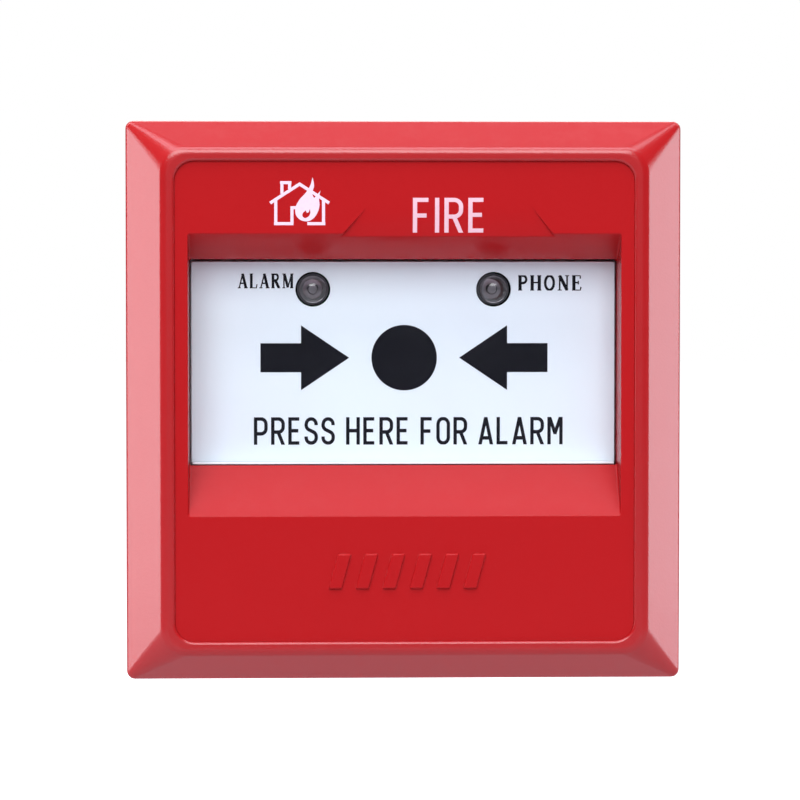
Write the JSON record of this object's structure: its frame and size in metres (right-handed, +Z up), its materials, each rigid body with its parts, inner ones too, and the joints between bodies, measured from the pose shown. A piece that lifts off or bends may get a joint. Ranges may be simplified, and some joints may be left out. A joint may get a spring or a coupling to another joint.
{
  "type": "manual call point",
  "caption": "Square wall unit with a bevelled frame and a recessed press plate that swings in, trips a switch and stays latched until a key underneath resets it.",
  "frame": {"origin": "centre of the back face, where the box lies on the wall, on the axis of the cable entry", "axes": "+Y into the wall, the face looks along -Y, +Z up, +X to the right as the face is read"},
  "size_m": [0.0954, 0.0455, 0.096],
  "materials": {
    "box_plastic": "moulded red plastic, fine texture",
    "frame_plastic": "glossy moulded red plastic",
    "cover_plastic": "glossy moulded red plastic",
    "dark_plastic": "dark grey moulded plastic",
    "black_plastic": "black moulded plastic",
    "block_plastic": "grey moulded plastic",
    "white_plastic": "white moulded plastic",
    "white_card": "printed white card",
    "clear_acrylic": "clear polished acrylic",
    "clear_epoxy": "clear epoxy lens",
    "black_rubber": "soft black rubber",
    "plated_steel": "zinc-plated steel",
    "spring_steel": "bright spring steel",
    "aluminium_can": "bare aluminium",
    "brass": "tinned brass",
    "board_laminate": "green lacquered laminate"
  },
  "bodies": {
    "wall_box": {"back_box": "box_plastic", "cable_grommet": "black_rubber", "terminal_block_top": "block_plastic", "terminal_block_bottom": "block_plastic", "block_screws": "plated_steel", "terminal_screws": "plated_steel", "terminal_clamps": "brass", "base_contacts": "brass", "retaining_clips": "spring_steel", "seal_gasket": "black_rubber"},
    "front_unit": {"front_frame": "frame_plastic", "face_cover": "cover_plastic", "chassis": "dark_plastic", "chassis_screws": "plated_steel", "rear_cover": "dark_plastic", "rear_cover_screws": "plated_steel", "hinge_rod": "spring_steel", "return_springs": "spring_steel", "latch_spring": "spring_steel", "latch_screw": "plated_steel", "reset_spring": "spring_steel", "microswitch_body": "black_plastic", "microswitch_terminals": "brass", "circuit_board": "board_laminate", "controller_chip": "black_plastic", "relay": "white_plastic", "bridge_rectifier": "black_plastic", "capacitors": "aluminium_can", "crystal": "plated_steel", "chip_resistors": "black_plastic", "led_alarm": "clear_epoxy", "led_phone": "clear_epoxy", "led_leads": "plated_steel", "led_spacers": "black_plastic", "plug_blades": "brass", "jack_body": "black_plastic", "jack_bush": "plated_steel", "jack_nut": "plated_steel", "jack_contacts": "brass"},
    "press_plate": {"press_pane": "clear_acrylic", "legend_card": "white_card", "press_carrier": "white_plastic"},
    "key_barrel": {"reset_barrel": "plated_steel", "barrel_clip": "spring_steel"},
    "switch_lever": {"microswitch_lever": "spring_steel"},
    "switch_plunger": {"microswitch_plunger": "cover_plastic"}
  },
  "joints": [
    {"name": "front_unplug", "type": "slide", "parent": "wall_box", "child": "front_unit", "axis": [0, -1, 0], "range_m": [0, 0.03], "deforming": ["retaining_clips"]},
    {"name": "press_hinge", "type": "hinge", "parent": "front_unit", "child": "press_plate", "pos_m": [0, -0.031, 0.0278], "axis": [1, 0, 0], "range_deg": [0, 6.2], "stiffness_Nm_per_rad": 0.8, "springref_deg": -4.58, "deforming": ["return_springs", "latch_spring"]},
    {"name": "reset_turn", "type": "hinge", "parent": "front_unit", "child": "key_barrel", "pos_m": [0, -0.031, -0.035], "axis": [0, 0, 1], "range_deg": [0, 90], "stiffness_Nm_per_rad": 0.01, "springref_deg": -22.92, "deforming": ["reset_spring", "latch_spring"]},
    {"name": "switch_lever_hinge", "type": "hinge", "parent": "front_unit", "child": "switch_lever", "pos_m": [-0.008, -0.0277, 0.01], "axis": [0, 0, 1], "range_deg": [0, 7.3]},
    {"name": "switch_plunger_slide", "type": "slide", "parent": "front_unit", "child": "switch_plunger", "axis": [0, 1, 0], "range_m": [0, 0.0007]}
  ],
  "couplings": [
    {"joint": "switch_lever_hinge", "follows": "press_hinge", "ratio": 1.16},
    {"joint": "switch_plunger_slide", "follows": "press_hinge", "m_per_rad": 0.00554}
  ]
}
